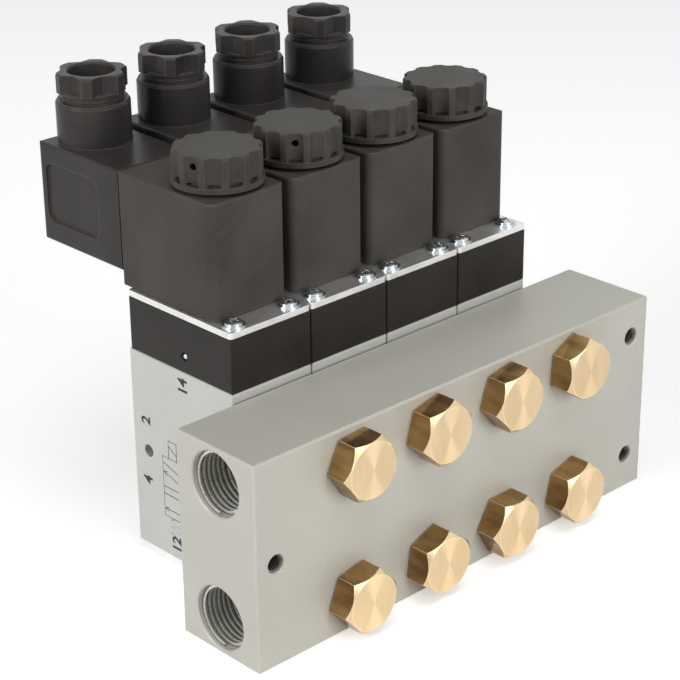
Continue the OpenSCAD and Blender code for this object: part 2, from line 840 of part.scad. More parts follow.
module connector() {
  seam = 0.3;
  edge = 0.9;
  top_edge = 1.5;
  panel_y = 11;
  panel_z = 7;
  panel_top = 6.3;
  panel_back = 3.9;
  panel_round = 3.5;
  panel_sink = 0.8;
  rim = 1;
  cavity_back = plug_back - plug_wall - 1.5;
  color("#33312e") difference() {
    union() {
      translate([-plug_w / 2, plug_y, plug_z])
        moulded_box(
          [plug_w, plug_d, plug_h],
          [seam, seam, plug_round, plug_round], [edge, edge, edge, edge],
          [seam, plug_low_round, top_edge, seam]
        );
      translate([0, gland_y, 0]) {
        z_rod(neck_r, plug_mid, neck_top - plug_mid - rim);
        translate([0, 0, neck_top - rim])
          cylinder(r1 = neck_r, r2 = neck_r - 0.6 * rim, h = rim);
      }
    }
    // Room for the contact carrier, open towards the coil
    translate([-cavity_w / 2, plug_y - 1, plug_z + plug_wall])
      cube([cavity_w, cavity_back - plug_y + 1, cavity_h]);
    // Thread of the gland, and the cable way under its ledge
    translate([0, gland_y, 0]) {
      z_rod(gland_thread_r, seal_z, neck_top - seal_z + 1);
      z_rod(cable_way_r, plug_mid, seal_z - plug_mid + 1);
    }
    // Sunk panel in each side
    for (side = [-1, 1])
      translate([side * plug_w / 2, plug_y + panel_y, plug_z + panel_z])
        rotate([90, 0, 90]) translate([0, 0, side > 0 ? -panel_sink : -1])
          linear_extrude(panel_sink + 1)
            round_rect(
              plug_d - panel_y - panel_back, plug_h - panel_z - panel_top, panel_round
            );
    // Screw hole with a seat for its head
    translate([0, 0, plug_mid]) {
      y_rod(m3_r + m3_play, plug_y, plug_d + 1);
      y_rod(m3_head_r + 0.4, plug_back - m3_head_h - 0.3, m3_head_h + 1.3);
    }
  }
}

module connector_gaskets() {
  frame = 3;
  color("#222222") at_every_valve() difference() {
    translate([-plug_w / 2 + 0.6, coil_back, plug_z + 0.6])
      cube([plug_w - 1.2, gasket_t, plug_h - 1.2]);
    translate([-plug_w / 2 + frame, coil_back - 1, plug_z + frame])
      cube([plug_w - 2 * frame, gasket_t + 2, plug_h - 2 * frame]);
  }
}

module connector_inserts() {
  w = cavity_w - 2 * insert_play;
  h = cavity_h - 2 * insert_play;
  color("#7d7b76") at_every_valve() difference() {
    translate([-w / 2, plug_y + 0.2, plug_mid - h / 2]) cube([w, insert_d, h]);
    blade_places() blade(plug_y, blade_len + 0.5, blade_play);
    translate([0, 0, plug_mid]) y_rod(m3_r + m3_play, plug_y - 1, insert_d + 3);
  }
}

module connector_screws() {
  slot_w = 0.8;
  slot_h = 1;
  seat = plug_back - m3_head_h - 0.3;
  color("#cfd2d4") at_every_valve() translate([0, 0, plug_mid]) difference() {
    union() {
      y_rod(m3_r, coil_back - 6, seat - coil_back + 7);
      y_rod(m3_head_r, seat, m3_head_h);
    }
    translate([-m3_head_r - 1, seat + m3_head_h - slot_h, -slot_w / 2])
      cube([2 * m3_head_r + 2, slot_h + 1, slot_w]);
  }
}

// Outline of the head of the gland nut: six blunt points, valleys between
module nut_outline() {
  points = 6;
  tip = 7.5;
  valley_r = nut_r - 2.45;
  polygon([
    for (k = [0 : points - 1], p = [[nut_r, -tip], [nut_r, tip], [valley_r, 180 / points]])
      let (a = k * 360 / points + p[1]) [p[0] * cos(a), p[0] * sin(a)]
  ]);
}

// Hollow screw with a pointed head; its thread is drawn as plain grooves
module gland_nut(turn) {
  base_h = 0.8;
  base_r = gland_thread_r + 0.5;
  edge = 0.6;
  lead = 1;
  mouth_r = 7.7;
  mouth_step = 0.5;
  r = gland_thread_r - nut_play;
  grooves = floor((gland_thread_len - lead) / thread_pitch);
  side = (thread_pitch - 0.5) / 2;
  color("#3a3834") translate([0, gland_y, 0]) rotate(turn) difference() {
    union() {
      rotate_extrude() polygon(concat(
        [[0, nut_bottom], [r - lead, nut_bottom], [r, nut_bottom + lead]],
        [
          for (k = [grooves - 1 : -1 : 0])
            let (z = nut_z - (k + 1) * thread_pitch)
            each [
              [r, z + 0.25], [r - thread_depth, z + side],
              [r - thread_depth, z + thread_pitch - side], [r, z + thread_pitch - 0.25]
            ]
        ],
        [[r, nut_z], [base_r, nut_z], [base_r, nut_z + base_h], [0, nut_z + base_h]]
      ));
      intersection() {
        translate([0, 0, nut_z + base_h / 2]) linear_extrude(nut_h - base_h / 2) nut_outline();
        rotate_extrude() polygon([
          [0, nut_z], [nut_r + 1, nut_z], [nut_r + 1, nut_top - edge - 1],
          [nut_r - edge, nut_top], [0, nut_top]
        ]);
      }
    }
    rotate_extrude() polygon([
      [0, nut_bottom - 1], [nut_hole_r, nut_bottom - 1], [nut_hole_r, nut_z - 1],
      [mouth_r - mouth_step, nut_z + 1.5], [mouth_r, nut_top - mouth_step],
      [mouth_r + mouth_step + 1, nut_top + 1], [0, nut_top + 1]
    ]);
  }
}

module gland_washer() {
  color("#c9c9c9") translate([0, gland_y, 0])
    z_ring(gland_thread_r - washer_play, nut_hole_r, washer_z, washer_t);
}

module gland_seals() {
  cable_r = 4;
  color("#262626") at_every_valve() translate([0, gland_y, 0])
    z_ring(gland_thread_r - 0.1, cable_r, seal_z, seal_h);
}

placed() manifold_bar();
placed() hollow_screws();
placed() screw_seals();
placed() spool_cages();
placed() spool_seals();
placed() end_plugs();
placed() pilot_balls();
placed() solenoid_plates();
placed() plate_screws();
placed() armature_tubes();
placed() armature_springs();
placed() contact_blades();
placed() connector_gaskets();
placed() connector_inserts();
placed() connector_screws();
placed() gland_seals();
for (i = [1 : stations]) {
  placed() at_valve(i) valve_body();
  placed() at_valve(i) spool();
  placed() at_valve(i) spool_spring();
  placed() at_valve(i) pilot_block();
  placed() at_valve(i) armature();
  placed() at_valve(i) coil();
  placed() at_valve(i) coil_cap(cap_turns[i - 1], vent_flutes[i - 1]);
  placed() at_valve(i) cap_ring();
  placed() at_valve(i) connector();
  placed() at_valve(i) gland_nut(nut_turns[i - 1]);
  placed() at_valve(i) gland_washer();
}
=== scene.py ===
import math
import bpy
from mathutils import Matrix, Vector


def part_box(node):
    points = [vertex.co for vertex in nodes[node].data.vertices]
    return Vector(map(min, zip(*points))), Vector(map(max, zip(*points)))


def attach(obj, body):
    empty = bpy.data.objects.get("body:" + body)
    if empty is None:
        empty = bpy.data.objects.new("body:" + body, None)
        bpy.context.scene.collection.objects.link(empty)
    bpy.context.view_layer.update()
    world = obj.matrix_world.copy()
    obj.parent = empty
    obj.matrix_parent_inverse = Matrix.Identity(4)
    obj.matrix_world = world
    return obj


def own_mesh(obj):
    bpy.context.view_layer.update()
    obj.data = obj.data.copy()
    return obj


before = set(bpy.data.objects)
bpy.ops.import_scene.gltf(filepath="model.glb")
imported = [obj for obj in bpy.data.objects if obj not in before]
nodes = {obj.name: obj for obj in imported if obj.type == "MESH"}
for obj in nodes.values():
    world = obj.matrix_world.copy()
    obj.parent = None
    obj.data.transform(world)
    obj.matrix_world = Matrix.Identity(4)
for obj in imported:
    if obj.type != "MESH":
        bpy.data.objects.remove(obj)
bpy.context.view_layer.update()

mm = 0.001
quarterTurn = math.pi / 2
stations = [1, 2, 3, 4]
valvePitch = 33 * mm
print("stage 1: frame loaded,", len(nodes), "nodes")


# Camera, fitted to the photo
camera = {
    "place": (-0.4268, -0.4576, 0.3421),
    "turn": (65.903, 0.598, -43.49),
    "lens": 109.0,
    "sensor": 36.0,
    "nearest": 0.01,
    "farthest": 50.0,
}
cameraData = bpy.data.cameras.new("bankCamera")
cameraData.lens = camera["lens"]
cameraData.sensor_width = camera["sensor"]
cameraData.clip_start = camera["nearest"]
cameraData.clip_end = camera["farthest"]
cameraObject = bpy.data.objects.new("bankCamera", cameraData)
cameraObject.location = camera["place"]
cameraObject.rotation_euler = [math.radians(angle) for angle in camera["turn"]]
bpy.context.scene.collection.objects.link(cameraObject)
bpy.context.scene.camera = cameraObject
bpy.context.scene.view_settings.view_transform = "Standard"


def selectOnly(*pieces):
    for piece in list(bpy.context.selected_objects):
        piece.select_set(False)
    for piece in pieces:
        piece.select_set(True)
    if pieces:
        bpy.context.view_layer.objects.active = pieces[0]


def addNode(tree, kind, inputs=None, **settings):
    node = tree.nodes.new("ShaderNode" + kind)
    for key, value in settings.items():
        setattr(node, key, value)
    for key, value in (inputs or {}).items():
        if isinstance(value, bpy.types.NodeSocket):
            tree.links.new(value, node.inputs[key])
        else:
            node.inputs[key].default_value = value
    return node


def calculate(tree, operation, *values):
    return addNode(tree, "Math", dict(enumerate(values)), operation=operation).outputs[0]


# The part of a pattern's or a switch's range that drives the whole of a colour or a roughness
cloudRange = (0.3, 0.7)
speckleRange = (0.35, 0.65)
switchRange = (0, 1)


def between(tree, value, low, high, span=cloudRange):
    return addNode(
        tree, "MapRange",
        {"Value": value, "From Min": span[0], "From Max": span[1], "To Min": low, "To Max": high},
    ).outputs["Result"]


def mixColors(tree, factor, first, second):
    # Each colour is a socket or three numbers
    colors = [
        color if isinstance(color, bpy.types.NodeSocket) else (*color, 1)
        for color in (first, second)
    ]
    return addNode(
        tree, "Mix", {"Factor": factor, "A": colors[0], "B": colors[1]}, data_type="RGBA"
    ).outputs["Result"]


def seenBy(tree, *kinds):
    # One for rays of these kinds and zero for the rest
    rays = addNode(tree, "LightPath").outputs
    seen = rays[f"Is {kinds[0]} Ray"]
    for kind in kinds[1:]:
        seen = calculate(tree, "MAXIMUM", seen, rays[f"Is {kind} Ray"])
    return seen


def startFinish(name, color, roughness, metallic=0.0, specular=0.5):
    finish = bpy.data.materials.new(name)
    finish.use_nodes = True
    tree = finish.node_tree
    shader = tree.nodes["Principled BSDF"]
    shader.inputs["Base Color"].default_value = (*color, 1)
    shader.inputs["Roughness"].default_value = roughness
    shader.inputs["Metallic"].default_value = metallic
    shader.inputs["Specular IOR Level"].default_value = specular
    return finish, tree, shader


# Soft studio light: a dim room that looks white, and lamps at the left, at the right and above
room = {"light": 0.09, "seen": 1.0}
world = bpy.data.worlds.new("paleRoom")
bpy.context.scene.world = world
world.use_nodes = True
tree = world.node_tree
background = tree.nodes["Background"]
background.inputs["Color"].default_value = (1, 1, 1, 1)
seen = seenBy(tree, "Camera", "Glossy", "Transmission")
strength = between(tree, seen, room["light"], room["seen"], switchRange)
tree.links.new(strength, background.inputs["Strength"])

lamps = {
    "leftLamp": {"place": (-1.5, 0.1, 0.75), "size": 0.8, "power": 14.8},
    "rightLamp": {"place": (0.1, -1.6, 0.55), "size": 1.0, "power": 12.3},
    "topLamp": {"place": (-0.2, -0.5, 1.7), "size": 1.2, "power": 9.0},
}
aim = Vector((0, 0, 0.07))
for name, lamp in lamps.items():
    lampData = bpy.data.lights.new(name, "AREA")
    lampData.shape = "DISK"
    lampData.size = lamp["size"]
    lampData.energy = lamp["power"]
    lampObject = bpy.data.objects.new(name, lampData)
    lampObject.location = lamp["place"]
    lampObject.rotation_euler = (aim - Vector(lamp["place"])).to_track_quat("-Z", "Y").to_euler()
    bpy.context.scene.collection.objects.link(lampObject)

paleFloor = {"size": 12, "color": (0.9, 0.9, 0.9), "roughness": 0.9, "glow": 0.5}
selectOnly()
bpy.ops.mesh.primitive_plane_add(size=paleFloor["size"], location=(0, 0, 0))
floor = bpy.context.object
floor.name = "paleFloor"
floorPaint, tree, shader = startFinish(
    "floorPaint", paleFloor["color"], paleFloor["roughness"], specular=0.0
)
glow = between(tree, seenBy(tree, "Camera", "Glossy"), 0.0, paleFloor["glow"], switchRange)
emission = addNode(tree, "Emission", {"Color": (1, 1, 1, 1), "Strength": glow})
both = addNode(tree, "AddShader", {0: shader.outputs[0], 1: emission.outputs[0]})
tree.links.new(both.outputs[0], tree.nodes["Material Output"].inputs["Surface"])
floor.data.materials.append(floorPaint)
print("stage 2: camera, light and floor")


# Finishes
quality = {"bumpSamples": 4, "edgeHighlightSamples": 6, "rootShadeSamples": 8}
noiseDetail = {"metal": 4.0, "moulding": 5.0, "grain": 2.0, "drawn": 3.0}
edgeHighlightRange = (0.995, 0.93)        # cosine between the rounded and the true normal, plain to painted edge highlight


def noise(tree, place, scale, detail, stretch=(1, 1, 1)):
    turned = addNode(tree, "Mapping", {"Vector": place, "Scale": stretch})
    return addNode(
        tree, "TexNoise", {"Vector": turned.outputs[0], "Scale": scale, "Detail": detail}
    ).outputs["Fac"]


def speckle(tree, cloud, grain, share):
    # Clouds and fine grain in one pattern
    soft = calculate(tree, "MULTIPLY", cloud, 1 - share)
    return calculate(tree, "MULTIPLY_ADD", grain, share, soft)


def bumpUp(tree, shader, height, look):
    inputs = {"Height": height, "Strength": look["bump"], "Distance": look["bumpDepth"]}
    if look["edge"]:
        inputs["Normal"] = addNode(
            tree, "Bevel", {"Radius": look["edge"]}, samples=quality["bumpSamples"]
        ).outputs[0]
    bump = addNode(tree, "Bump", inputs)
    tree.links.new(bump.outputs[0], shader.inputs["Normal"])


def paintEdgeHighlights(tree, plain, look):
    # Painted highlight on edges: where the rounded normal leaves the true one, the colour is
    # lighter, as if the edges caught the light
    rounded = addNode(
        tree, "Bevel", {"Radius": look["edgeHighlightReach"]}, samples=quality["edgeHighlightSamples"]
    ).outputs[0]
    true = addNode(tree, "NewGeometry").outputs["True Normal"]
    along = addNode(tree, "VectorMath", {0: rounded, 1: true}, operation="DOT_PRODUCT")
    edgeHighlight = between(tree, along.outputs["Value"], 0.0, look["edgeHighlightShare"], edgeHighlightRange)
    return mixColors(tree, edgeHighlight, plain, look["edgeHighlightColor"])


def paintShadeInRoots(tree, cut, look):
    # Painted shade in the roots of cut threads: darker where ambient occlusion finds the surface
    # enclosed
    near = addNode(
        tree, "AmbientOcclusion", {"Distance": look["rootShadeReach"]}, samples=quality["rootShadeSamples"]
    ).outputs["AO"]
    return mixColors(tree, between(tree, near, 0, 1, look["rootShadeRange"]), look["root"], cut)


def makeFinish(name, look):
    # A metal's roughness follows its grain, a moulding's follows its clouds
    metal = "metallic" in look
    finish, tree, shader = startFinish(
        name + ("Metal" if metal else "Moulding"), look["light"], look["roughness"],
        look.get("metallic", 0.0), look.get("specular", 0.5),
    )
    place = addNode(tree, "TexCoord").outputs["Object"]
    cloud = noise(tree, place, look["cloudScale"], noiseDetail["metal" if metal else "moulding"])
    grain = noise(
        tree, place, look["grainScale"], noiseDetail["grain"], look.get("grainStretch", (1, 1, 1))
    )
    pattern = speckle(tree, cloud, grain, look["speckle"])
    color = mixColors(
        tree, between(tree, pattern, 0, 1, speckleRange), look["dark"], look["light"]
    )
    # Painted shade in the roots of threads
    if "root" in look:
        color = paintShadeInRoots(tree, color, look)
    # Painted highlight on rounded edges, for the finishes that have one
    if "edgeHighlightColor" in look:
        color = paintEdgeHighlights(tree, color, look)
    tree.links.new(color, shader.inputs["Base Color"])
    smoother = look["roughness"] - look["roughSpread"]
    rougher = look["roughness"] + look["roughSpread"]
    rough = between(tree, grain if metal else cloud, smoother, rougher)
    tree.links.new(rough, shader.inputs["Roughness"])
    bumpUp(tree, shader, grain, look)
    return finish


looks = {
    "bar": {
        "light": (0.565, 0.557, 0.493), "dark": (0.497, 0.487, 0.43), "speckle": 0.5,
        "metallic": 0.15, "roughness": 0.5, "roughSpread": 0.05,
        "cloudScale": 22, "grainScale": 1700, "grainStretch": (0.7, 1, 1),
        "bump": 0.16, "bumpDepth": 0.2 * mm, "edge": 0.4 * mm,
        "edgeHighlightColor": (0.68, 0.67, 0.62), "edgeHighlightReach": 0.4 * mm, "edgeHighlightShare": 0.5,
    },
    "body": {
        "light": (0.58, 0.58, 0.552), "dark": (0.52, 0.52, 0.495), "speckle": 0.4,
        "metallic": 0.45, "roughness": 0.5, "roughSpread": 0.05,
        "cloudScale": 30, "grainScale": 1100,
        "bump": 0.12, "bumpDepth": 0.2 * mm, "edge": 0.3 * mm,
    },
    "plate": {
        "light": (0.82, 0.82, 0.8), "dark": (0.68, 0.68, 0.67), "speckle": 0.4,
        "metallic": 0.9, "roughness": 0.34, "roughSpread": 0.06,
        "cloudScale": 90, "grainScale": 800, "grainStretch": (0.2, 1, 1),
        "bump": 0.15, "bumpDepth": 0.2 * mm, "edge": 0.3 * mm,
        "edgeHighlightColor": (0.9, 0.9, 0.88), "edgeHighlightReach": 0.4 * mm, "edgeHighlightShare": 0.7,
    },
    "zinc": {
        "light": (0.66, 0.7, 0.72), "dark": (0.42, 0.46, 0.49), "speckle": 0.2,
        "metallic": 1.0, "roughness": 0.17, "roughSpread": 0.05,
        "cloudScale": 500, "grainScale": 2500,
        "bump": 0.12, "bumpDepth": 0.1 * mm, "edge": 0.2 * mm,
    },
    "steel": {
        "light": (0.62, 0.62, 0.62), "dark": (0.5, 0.5, 0.51), "speckle": 0.2,
        "metallic": 1.0, "roughness": 0.3, "roughSpread": 0.05,
        "cloudScale": 300, "grainScale": 2000, "grainStretch": (1, 1, 0.2),
        "bump": 0.1, "bumpDepth": 0.1 * mm, "edge": 0.2 * mm,
    },
    "tin": {
        "light": (0.74, 0.73, 0.68), "dark": (0.6, 0.59, 0.55), "speckle": 0.2,
        "metallic": 1.0, "roughness": 0.35, "roughSpread": 0.05,
        "cloudScale": 300, "grainScale": 2000, "grainStretch": (1, 0.2, 1),
        "bump": 0.1, "bumpDepth": 0.1 * mm, "edge": 0.2 * mm,
    },
    "thread": {
        # Far lighter than the bar's metal: painted light on the thread flanks inside the ports
        "light": (0.9, 0.89, 0.85), "dark": (0.82, 0.81, 0.77), "speckle": 0.2,
        "metallic": 0.45, "roughness": 0.3, "roughSpread": 0.04,
        "cloudScale": 60, "grainScale": 900,
        "bump": 0.03, "bumpDepth": 0.1 * mm, "edge": 0.0,
        # root: the colour of the painted shade in the thread roots
        "root": (0.012, 0.011, 0.01), "rootShadeReach": 1.5 * mm, "rootShadeRange": (0.5, 0.82),
    },
    "smallThread": {
        "light": (0.3, 0.29, 0.27), "dark": (0.22, 0.21, 0.195), "speckle": 0.2,
        "metallic": 0.45, "roughness": 0.4, "roughSpread": 0.04,
        "cloudScale": 60, "grainScale": 900,
        "bump": 0.03, "bumpDepth": 0.1 * mm, "edge": 0.0,
        # root: the colour of the painted shade in the thread roots
        "root": (0.03, 0.028, 0.025), "rootShadeReach": 1.2 * mm, "rootShadeRange": (0.4, 0.62),
    },
    "block": {
        "light": (0.024, 0.02, 0.0165), "dark": (0.014, 0.0115, 0.0095), "speckle": 0.25,
        "specular": 0.2, "roughness": 0.42, "roughSpread": 0.06,
        "cloudScale": 60, "grainScale": 1500,
        "bump": 0.1, "bumpDepth": 0.2 * mm, "edge": 0.3 * mm,
        "edgeHighlightColor": (0.06, 0.055, 0.05), "edgeHighlightReach": 0.3 * mm, "edgeHighlightShare": 0.5,
    },
    "coil": {
        "light": (0.082, 0.0735, 0.067), "dark": (0.05, 0.0445, 0.04), "speckle": 0.25,
        "specular": 0.09, "roughness": 0.5, "roughSpread": 0.08,
        "cloudScale": 45, "grainScale": 1300,
        "bump": 0.3, "bumpDepth": 0.2 * mm, "edge": 0.5 * mm,
        "edgeHighlightColor": (0.15, 0.138, 0.126), "edgeHighlightReach": 0.9 * mm, "edgeHighlightShare": 0.7,
    },
    "cap": {
        "light": (0.064, 0.059, 0.051), "dark": (0.038, 0.0345, 0.03), "speckle": 0.25,
        "specular": 0.14, "roughness": 0.46, "roughSpread": 0.08,
        "cloudScale": 120, "grainScale": 1500,
        "bump": 0.25, "bumpDepth": 0.2 * mm, "edge": 0.3 * mm,
        "edgeHighlightColor": (0.13, 0.12, 0.105), "edgeHighlightReach": 0.4 * mm, "edgeHighlightShare": 0.6,
    },
    "plug": {
        "light": (0.05, 0.046, 0.043), "dark": (0.032, 0.029, 0.027), "speckle": 0.25,
        "specular": 0.12, "roughness": 0.34, "roughSpread": 0.08,
        "cloudScale": 50, "grainScale": 1300,
        "bump": 0.2, "bumpDepth": 0.2 * mm, "edge": 0.4 * mm,
        "edgeHighlightColor": (0.13, 0.121, 0.112), "edgeHighlightReach": 0.6 * mm, "edgeHighlightShare": 0.6,
    },
    "carrier": {
        "light": (0.2, 0.2, 0.19), "dark": (0.16, 0.16, 0.155), "speckle": 0.4,
        "specular": 0.5, "roughness": 0.55, "roughSpread": 0.05,
        "cloudScale": 90, "grainScale": 1300,
        "bump": 0.15, "bumpDepth": 0.2 * mm, "edge": 0.3 * mm,
    },
    "rubber": {
        "light": (0.014, 0.0135, 0.013), "dark": (0.008, 0.008, 0.0075), "speckle": 0.4,
        "specular": 0.2, "roughness": 0.75, "roughSpread": 0.08,
        "cloudScale": 200, "grainScale": 2500,
        "bump": 0.2, "bumpDepth": 0.1 * mm, "edge": 0.2 * mm,
    },
    "ink": {
        "light": (0.03, 0.03, 0.032), "dark": (0.018, 0.018, 0.02), "speckle": 0.2,
        "specular": 0.3, "roughness": 0.5, "roughSpread": 0.05,
        "cloudScale": 900, "grainScale": 3000,
        "bump": 0.1, "bumpDepth": 0.1 * mm, "edge": 0.0,
    },
}
finishes = {name: makeFinish(name, look) for name, look in looks.items()}

# Brass: turned faces with fine rings around the middle of each hexagon head and a painted highlight
# in two sectors, and browner drawn flats, darkened further as painted shade
brass = {
    "light": (0.71, 0.545, 0.335), "dark": (0.63, 0.47, 0.275),
    "flats": (0.45, 0.28, 0.12), "oldDrawnShadedFlats": (0.23, 0.13, 0.052),
    "roughness": 0.24, "smoother": 0.04, "rougher": 0.06,
    "cloudScale": 160, "cloudStretch": (1, 1, 0.3),
    "drawnScale": 420, "drawnStretch": (0.5, 0.12, 0.5),
    "scratchScale": 700, "scratchStretch": (1, 0.06, 1),
    "paintedSheen": 1.22, "paintedSheenRange": (0.85, 1.0), "faceRange": (-0.6, -0.2),
    "lowRow": 12.2 * mm, "rowPitch": 45.6 * mm, "ring": 0.4 * mm, "ringShare": 0.5,
    "bump": 0.3, "bumpDepth": 0.1 * mm, "edge": 0.4 * mm,
    "edgeHighlightColor": (0.97, 0.8, 0.52), "edgeHighlightReach": 0.5 * mm, "edgeHighlightShare": 0.9,
}
finish, tree, shader = startFinish("turnedBrass", brass["light"], brass["roughness"], 1.0)
place = addNode(tree, "TexCoord").outputs["Object"]
split = addNode(tree, "SeparateXYZ", {0: place})
across = calculate(tree, "WRAP", split.outputs["X"], valvePitch, 0.0)
across = calculate(tree, "SUBTRACT", across, valvePitch / 2)
aboveRow = brass["lowRow"] + brass["rowPitch"] / 2
belowRow = brass["lowRow"] - brass["rowPitch"] / 2
upward = calculate(tree, "WRAP", split.outputs["Z"], aboveRow, belowRow)
upward = calculate(tree, "SUBTRACT", upward, brass["lowRow"])
flat = addNode(tree, "CombineXYZ", {"X": across, "Z": upward}).outputs[0]
radius = addNode(tree, "VectorMath", {0: flat}, operation="LENGTH").outputs["Value"]
phase = calculate(tree, "MULTIPLY", radius, 2 * math.pi / brass["ring"])
rings = calculate(tree, "SINE", phase)
cloud = noise(tree, place, brass["cloudScale"], noiseDetail["metal"], brass["cloudStretch"])
turnedColor = mixColors(tree, between(tree, cloud, 0, 1), brass["dark"], brass["light"])
# Painted highlight: turned faces are made lighter in two opposite sectors, standing in for the
# sheen of the turned rings
upFacing = addNode(tree, "VectorMath", {0: flat}, operation="NORMALIZE").outputs[0]
upFacing = addNode(tree, "SeparateXYZ", {0: upFacing}).outputs["Z"]
paintedSheenFactor = calculate(tree, "ABSOLUTE", upFacing)
paintedSheenFactor = between(tree, paintedSheenFactor, 1.0, brass["paintedSheen"], brass["paintedSheenRange"])
lit = addNode(tree, "VectorMath", {0: turnedColor, "Scale": paintedSheenFactor}, operation="SCALE").outputs[0]
# Drawn flats: browner drawn brass, darkened further as painted shade, as if they reflected the
# shaded bar
drawn = noise(tree, place, brass["drawnScale"], noiseDetail["drawn"], brass["drawnStretch"])
drawnShadedColor = mixColors(
    tree, between(tree, drawn, 0, 1, speckleRange), brass["oldDrawnShadedFlats"], brass["flats"]
)
facing = addNode(tree, "SeparateXYZ", {0: addNode(tree, "NewGeometry").outputs["True Normal"]})
turned = between(tree, facing.outputs["Y"], 1.0, 0.0, brass["faceRange"])
# Painted highlight on the rounded edges of the heads
color = paintEdgeHighlights(tree, mixColors(tree, turned, drawnShadedColor, lit), brass)
tree.links.new(color, shader.inputs["Base Color"])
smoother = brass["roughness"] - brass["smoother"]
rougher = brass["roughness"] + brass["rougher"]
tree.links.new(between(tree, cloud, smoother, rougher), shader.inputs["Roughness"])
scratch = noise(tree, place, brass["scratchScale"], noiseDetail["drawn"], brass["scratchStretch"])
onFace = calculate(tree, "MULTIPLY", rings, turned)
bumpUp(tree, shader, calculate(tree, "MULTIPLY_ADD", onFace, brass["ringShare"], scratch), brass)
finishes["brass"] = finish

nodeFinish = {
    "manifold_bar": "bar", "hollow_screws": "brass", "screw_seals": "rubber",
    "valve_body": "body", "spool": "plate", "spool_cages": "brass", "spool_seals": "rubber",
    "spool_spring": "steel", "end_plugs": "body", "pilot_block": "block", "pilot_balls": "zinc",
    "solenoid_plates": "plate", "plate_screws": "zinc", "armature_tubes": "steel",
    "armature": "steel", "armature_springs": "steel", "coil": "coil", "contact_blades": "tin",
    "coil_cap": "cap", "cap_ring": "rubber", "connector": "plug", "connector_gaskets": "rubber",
    "connector_inserts": "carrier", "connector_screws": "zinc", "gland_nut": "plug",
    "gland_washer": "zinc", "gland_seals": "rubber",
}
for name, node in nodes.items():
    kind = name[:-2] if name[-2] == "_" and name[-1].isdigit() else name
    node.data.materials.clear()
    node.data.materials.append(finishes[nodeFinish[kind]])

# Each return spring gets a mesh of its own; the springs shorten as their spools go down
for station in stations:
    spring = f"spool_spring_{station}"
    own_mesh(nodes[spring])
print("stage 3: finishes on the solids")


def dress(piece, name, finish, body="bank"):
    piece.name = name
    piece.data.name = name
    piece.data.materials.clear()
    piece.data.materials.append(finishes[finish])
    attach(piece, body)


def applyPlace():
    bpy.ops.object.transform_apply(location=True, rotation=True, scale=True)


# Threads: one turn's tooth as a small square profile, narrowed at its crest and wound with a screw
threads = {
    "endPort": {
        "pitch": 1.814 * mm, "root": 10.5 * mm, "crest": 9.32 * mm, "turns": 8, "start": 0.75 * mm,
    },
    "outlet": {
        "pitch": 1.337 * mm, "root": 6.6 * mm, "crest": 5.72 * mm, "turns": 8, "start": 0.7 * mm,
    },
    "fixing": {
        "pitch": 1.0 * mm, "root": 3.01 * mm, "crest": 2.46 * mm, "turns": 11, "start": 0.6 * mm,
    },
}
tooth = {
    "rootShare": 0.42,           # half the root's width, of the pitch
    "crestShare": 0.2,           # the crest's width, of the root's
    "stepsInTurn": 40,
    "smoothAngle": 30,
}


def woundThread(look):
    selectOnly()
    reach = (look["root"] - look["crest"]) / 2
    bpy.ops.mesh.primitive_circle_add(
        vertices=4, radius=math.sqrt(2), fill_type="NOTHING",
        rotation=(quarterTurn, quarterTurn / 2, 0),
    )
    thread = bpy.context.object
    applyPlace()
    for corner in thread.data.vertices:
        corner.select = corner.co.x < 0
    bpy.ops.object.mode_set(mode="EDIT")
    bpy.ops.mesh.select_mode(type="VERT")
    bpy.ops.transform.resize(value=(1, 1, tooth["crestShare"]))
    bpy.ops.mesh.select_all(action="SELECT")
    bpy.ops.transform.resize(value=(reach, 1, look["pitch"] * tooth["rootShare"]))
    bpy.ops.transform.translate(value=(look["crest"] + reach, 0, look["start"] + look["pitch"] / 2))
    bpy.ops.object.mode_set(mode="OBJECT")
    winding = thread.modifiers.new("winding", "SCREW")
    winding.steps = winding.render_steps = tooth["stepsInTurn"]
    winding.screw_offset = look["pitch"]
    winding.iterations = look["turns"]
    winding.use_merge_vertices = True
    bpy.ops.object.modifier_apply(modifier="winding")
    bpy.ops.object.mode_set(mode="EDIT")
    bpy.ops.mesh.select_all(action="SELECT")
    bpy.ops.mesh.fill_holes(sides=4)
    bpy.ops.mesh.select_all(action="SELECT")
    bpy.ops.mesh.normals_make_consistent(inside=False)
    bpy.ops.object.mode_set(mode="OBJECT")
    bpy.ops.object.shade_smooth_by_angle(angle=math.radians(tooth["smoothAngle"]))
    return thread


def copyTo(source, place, turn):
    piece = source.copy()
    piece.data = source.data.copy()
    bpy.context.scene.collection.objects.link(piece)
    piece.location = place
    piece.rotation_euler = turn
    selectOnly(piece)
    applyPlace()
    return piece


def placeThreads(kind, places, turn, finish):
    thread = woundThread(threads[kind])
    for name, place in places.items():
        dress(copyTo(thread, place, turn), name, finish)
    bpy.data.objects.remove(thread)


# Where the threads stand: heights of the ports, heights and inset of the fixing holes
ports = {
    "ends": {"lowPortThread": 12.2 * mm, "highPortThread": 57.8 * mm},
    "outlets": {2: 49.2 * mm, 4: 27.6 * mm},
    "leftFixing": 35 * mm,
    "rightFixings": (12.6 * mm, 57.4 * mm),
    "fixingInset": 8 * mm,
}
barLow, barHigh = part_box("manifold_bar")
bodyLow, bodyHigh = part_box("valve_body_1")
into = (0, quarterTurn, 0)       # winds from the left end into the bar
back = (-quarterTurn, 0, 0)      # winds from the front backwards
front = (quarterTurn, 0, 0)      # winds from the back forwards

middle = (barLow[1] + barHigh[1]) / 2
endPlaces = {name: (barLow[0], middle, z) for name, z in ports["ends"].items()}
placeThreads("endPort", endPlaces, into, "thread")

